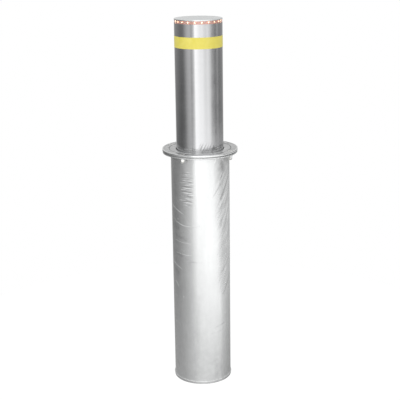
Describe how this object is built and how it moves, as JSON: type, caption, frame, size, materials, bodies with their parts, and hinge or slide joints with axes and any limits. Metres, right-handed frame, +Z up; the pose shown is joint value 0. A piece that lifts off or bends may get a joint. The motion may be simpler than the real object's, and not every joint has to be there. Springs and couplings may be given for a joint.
{
  "type": "hydraulic rising bollard",
  "caption": "Rising bollard: a brushed steel column with a lamp ring and a yellow band, lifted out of a buried galvanised casing.",
  "frame": {"origin": "centre of the flange's top face, which lies level with the road", "axes": "+Z up along the column, -Y to the front; the rest pose is the raised column"},
  "size_m": [0.35, 0.35, 1.735],
  "materials": {
    "galvanised": "hot-dip galvanised, with runs and scratches",
    "flange_steel": "dull galvanised",
    "bright_zinc": "bright zinc plated",
    "nylon": "natural nylon",
    "black_rubber": "matt",
    "black_plastic": "satin",
    "grey_plastic": "satin",
    "machined_steel": "turned",
    "cylinder_paint": "semi-gloss",
    "motor_paint": "semi-gloss",
    "aluminium_block": "milled",
    "rod_chrome": "polished",
    "red_seal": "matt",
    "brushed_column": "brushed round the column",
    "cap_steel": "fine brushed",
    "lamp_strip": "matt",
    "lamp": "lit",
    "lamp_window": "clear red plastic",
    "yellow_tape": "retroreflective tape"
  },
  "bodies": {
    "casing": {"casing_tube": "galvanised", "base_plate": "galvanised", "base_weld": "galvanised", "casing_flange": "galvanised", "flange_weld": "galvanised", "guide_bush": "nylon", "wiper_seal": "black_rubber", "collar_ring": "flange_steel", "cover_ring": "flange_steel", "flange_bolts": "bright_zinc", "nut_washers": "bright_zinc", "dome_nuts": "bright_zinc", "guide_rail_1": "galvanised", "guide_rail_2": "galvanised", "guide_rail_3": "galvanised", "conduit_stub": "galvanised", "cable_gland": "black_plastic", "gland_nut": "black_plastic", "drain_socket": "galvanised", "cylinder_foot": "machined_steel", "foot_bolts": "bright_zinc", "cylinder_barrel": "cylinder_paint", "gland_head": "machined_steel", "rod_seal": "red_seal", "bump_ring": "black_rubber", "upper_sensor": "black_plastic", "lower_sensor": "black_plastic", "pump_block": "aluminium_block", "block_screws": "bright_zinc", "pump_motor": "motor_paint", "solenoid_valve": "black_plastic", "junction_box": "grey_plastic", "oil_tank": "cylinder_paint", "tank_lid": "cylinder_paint", "filler_plug": "black_plastic", "pressure_pipe": "bright_zinc", "return_pipe": "bright_zinc"},
    "column": {"column_tube": "brushed_column", "foot_ring": "brushed_column", "guide_shoe_1": "nylon", "guide_shoe_2": "nylon", "guide_shoe_3": "nylon", "shoe_screws": "bright_zinc", "crosshead": "machined_steel", "rod_nut": "bright_zinc", "piston_rod": "rod_chrome", "piston": "machined_steel", "piston_seals": "red_seal", "head_ring": "machined_steel", "led_hub": "aluminium_block", "led_strip": "lamp_strip", "leds": "lamp", "led_window": "lamp_window", "head_cap": "cap_steel", "cap_screws": "bright_zinc", "reflective_band": "yellow_tape", "led_cable": "black_rubber", "coil_cable": "black_rubber"}
  },
  "joints": [
    {"name": "column_slide", "type": "slide", "parent": "casing", "child": "column", "axis": [0, 0, 1], "range_m": [-0.592, 0], "deforming": ["coil_cable"]}
  ]
}
